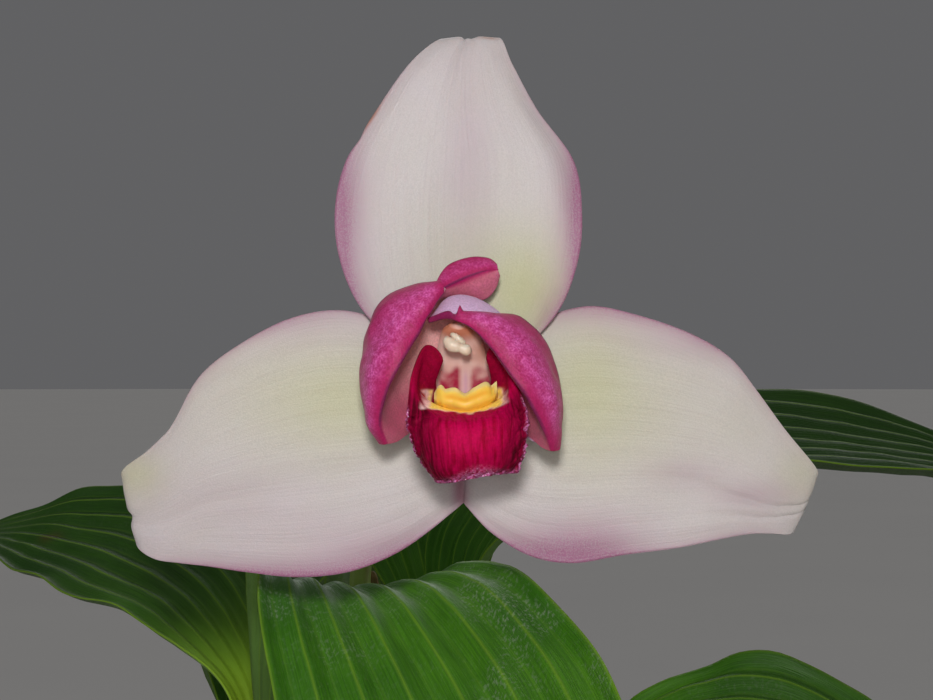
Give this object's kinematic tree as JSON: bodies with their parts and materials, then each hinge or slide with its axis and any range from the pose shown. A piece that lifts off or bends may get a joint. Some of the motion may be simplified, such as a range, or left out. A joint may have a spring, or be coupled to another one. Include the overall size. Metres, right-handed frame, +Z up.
{
  "type": "potted lycaste orchid",
  "caption": "Orchid plant in a plain clay pot: an open white flower with a crimson lip on its own stalk, broad pleated leaves on pseudobulbs, roots and bark.",
  "frame": {"origin": "centre of the pot's foot, on the surface that it stands on", "axes": "+Z up; the flower faces -Y; +X to the right of someone who looks at the flower"},
  "size_m": [0.2932, 0.3093, 0.3703],
  "materials": {
    "sepal": "waxy white petal tissue, faintly green in the middle and pink at the edges",
    "petal": "magenta petal tissue, crystalline sheen, pale lavender outside",
    "lip": "velvety deep crimson petal tissue with a pale ruffled edge",
    "callus": "smooth fleshy yellow",
    "column": "fleshy, pale pinkish brown, red at the foot",
    "anther": "smooth cream",
    "leaf": "pleated, satin green, paler ribs",
    "stalk": "smooth green, tinged brown",
    "sheath": "papery green-brown bract",
    "bulb": "furrowed, glossy green",
    "husk": "dry papery brown husk",
    "root": "matt pale corky root",
    "bark": "rough broken conifer bark",
    "clay": "unglazed fired clay, matt"
  },
  "bodies": {
    "root": {"sepal_dorsal": "sepal", "sepal_left": "sepal", "sepal_right": "sepal", "petal_left": "petal", "petal_right": "petal", "lip": "lip", "callus": "callus", "column": "column", "anther_cap": "anther", "leaf_left": "leaf", "leaf_front": "leaf", "leaf_low_right": "leaf", "leaf_right": "leaf", "leaf_back": "leaf", "leaf_back_left": "leaf", "flower_stalk": "stalk", "sheath_low": "sheath", "sheath_middle": "sheath", "sheath_flower": "sheath", "pseudobulb_front": "bulb", "pseudobulb_middle": "bulb", "pseudobulb_old": "bulb", "pseudobulb_oldest": "bulb", "husk_front": "husk", "husk_middle": "husk", "husk_old": "husk", "rhizome": "root", "bark": "bark", "pot": "clay"}
  },
  "joints": []
}
